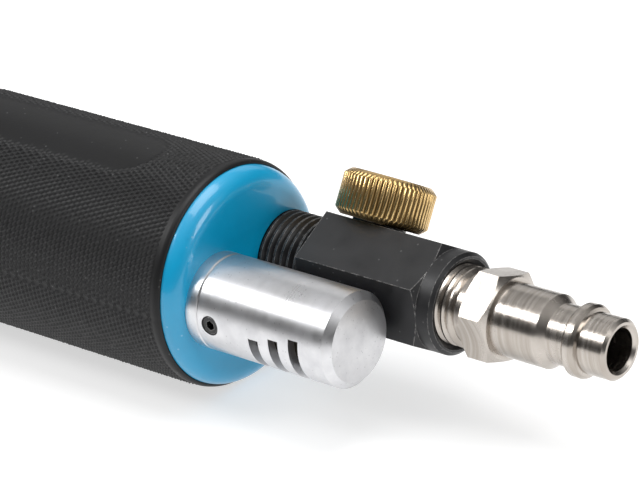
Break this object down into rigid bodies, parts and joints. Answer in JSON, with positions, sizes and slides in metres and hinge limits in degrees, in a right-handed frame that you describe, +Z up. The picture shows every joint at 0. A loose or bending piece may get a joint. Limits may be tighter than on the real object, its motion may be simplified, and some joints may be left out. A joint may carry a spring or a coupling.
{
  "type": "pneumatic rivet gun",
  "caption": "Straight riveting hammer with rubber grip, blue end cap, exhaust muffler, knob air regulator, hose plug, lever throttle, sprung barrel and cupped rivet set.",
  "frame": {"origin": "on the surface the hammer rests on, under the tool axis, at the middle of the front bumper", "axes": "+X towards the air fittings, so the rivet set points to -X; +Y away from the muffler, towards the air inlet; +Z up"},
  "size_m": [0.3, 0.0465, 0.0507],
  "materials": {
    "rubber_grip": "fine raised diamond texture",
    "blue_anodised": "glossy cyan-blue enamel",
    "blue_bumper": "satin cyan-blue",
    "black_oxide": "black oxide on steel, worn bright on the edges",
    "nickel": "nickel plate",
    "brass": "turned and knurled brass",
    "aluminium": "turned, satin",
    "steel": "machined steel",
    "dark_steel": "black oxide fasteners",
    "spring_steel": "drawn spring wire",
    "bronze": "bearing bronze",
    "sinter": "porous sintered bronze, soiled",
    "seal_rubber": "nitrile rubber",
    "acetal": "natural acetal"
  },
  "bodies": {
    "housing": {"end_cap": "blue_anodised", "back_head": "aluminium", "head_seal": "seal_rubber", "head_screws": "dark_steel", "inlet_body": "black_oxide", "inlet_screen": "steel", "hose_plug": "nickel", "muffler_base": "aluminium", "housing_tube": "aluminium", "grip_sleeve": "rubber_grip", "front_bumper": "blue_bumper", "front_circlip": "dark_steel", "front_wiper": "seal_rubber", "front_bushing": "bronze", "buffer_ring": "seal_rubber", "rear_guide": "acetal", "transfer_tube": "steel", "feed_tube": "steel", "return_tube": "steel", "throttle_body": "aluminium", "throttle_screws": "dark_steel", "throttle_bush": "bronze", "throttle_seat": "acetal", "throttle_spring": "spring_steel", "lever_pin": "steel", "recoil_spring": "spring_steel"},
    "regulator": {"regulator_stem": "bronze", "regulator_knob": "brass", "regulator_seals": "seal_rubber", "regulator_washer": "steel", "regulator_screw": "dark_steel"},
    "muffler": {"muffler_sleeve": "aluminium", "muffler_screw": "dark_steel", "silencer_element": "sinter"},
    "lever": {"throttle_lever": "black_oxide"},
    "stem": {"throttle_stem": "steel"},
    "hammer": {"barrel": "steel", "valve_block": "steel", "valve_plate": "steel", "valve_cap": "steel", "tube_seal": "seal_rubber", "chest_screws": "dark_steel", "spring_seat": "steel", "retainer_spring": "spring_steel"},
    "shuttle": {"valve_shuttle": "steel"},
    "piston": {"piston": "steel"},
    "set": {"rivet_set": "steel"}
  },
  "joints": [
    {"name": "regulator_turn", "type": "hinge", "parent": "housing", "child": "regulator", "pos_m": [0.1597, 0.0094, 0.0199], "axis": [0, 0.5446, 0.8387], "range_deg": [0, 90]},
    {"name": "muffler_turn", "type": "hinge", "parent": "housing", "child": "muffler", "pos_m": [0.158, -0.008, 0.01935], "axis": [1, 0, 0], "continuous": true},
    {"name": "lever_press", "type": "hinge", "parent": "housing", "child": "lever", "pos_m": [0.064, 0, 0.04485], "axis": [0, -1, 0], "range_deg": [0, 4.4], "stiffness_Nm_per_rad": 2, "springref_deg": -2.86},
    {"name": "stem_travel", "type": "slide", "parent": "housing", "child": "stem", "axis": [0, 0, -1], "range_m": [0, 0.001], "deforming": ["throttle_spring"]},
    {"name": "recoil", "type": "slide", "parent": "housing", "child": "hammer", "axis": [1, 0, 0], "range_m": [0, 0.005], "stiffness_N_per_m": 4000, "springref_m": -0.005, "deforming": ["recoil_spring"]},
    {"name": "valve_shift", "type": "slide", "parent": "hammer", "child": "shuttle", "axis": [1, 0, 0], "range_m": [0, 0.001]},
    {"name": "piston_stroke", "type": "slide", "parent": "hammer", "child": "piston", "axis": [1, 0, 0], "range_m": [0, 0.036]},
    {"name": "set_travel", "type": "slide", "parent": "hammer", "child": "set", "axis": [-1, 0, 0], "range_m": [0, 0.004]}
  ],
  "couplings": [
    {"joint": "stem_travel", "follows": "lever_press", "m_per_rad": 0.0129}
  ]
}
